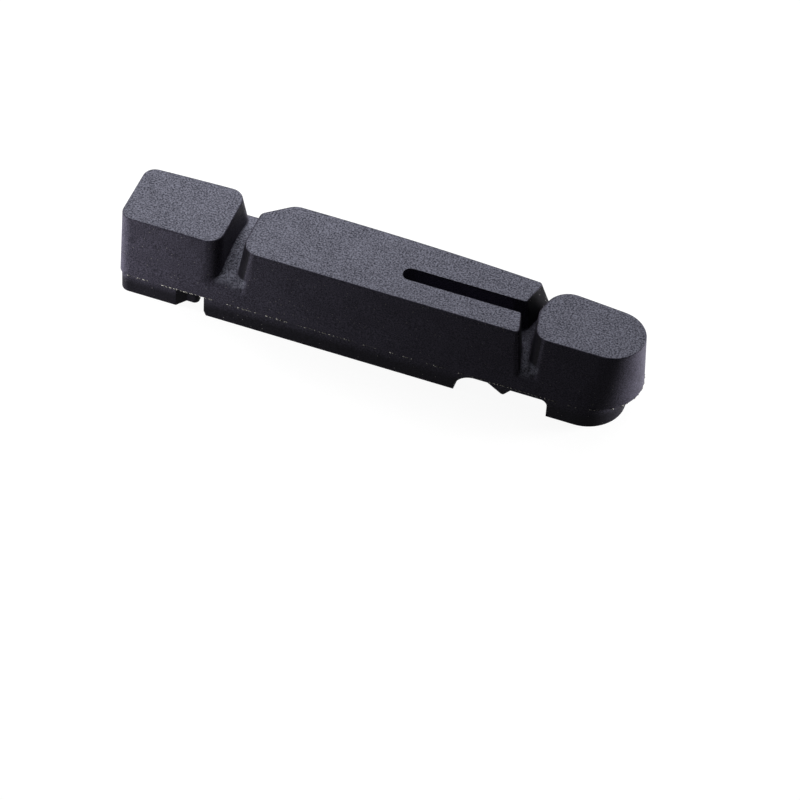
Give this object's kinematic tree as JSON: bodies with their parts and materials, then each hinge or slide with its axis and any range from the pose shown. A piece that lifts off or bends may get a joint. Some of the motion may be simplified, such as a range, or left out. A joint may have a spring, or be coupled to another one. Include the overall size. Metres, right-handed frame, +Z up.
{
  "type": "bicycle rim brake pad",
  "caption": "Moulded rubber brake pad insert for a bicycle rim brake: grooved friction face with a slot, and a keyed rail on the back that slides into a metal holder.",
  "frame": {"origin": "middle of the bounding box, on the back of the rail, where the pad lies", "axes": "+X along the pad from its square end to its round end, +Y from the straight side to the curved side, +Z up to the friction face"},
  "size_m": [0.055, 0.0115, 0.0104],
  "materials": {
    "pad_rubber": "dark grey moulded rubber, matte grained faces, smoother side walls"
  },
  "bodies": {
    "root": {"brake_pad": "pad_rubber"}
  },
  "joints": []
}
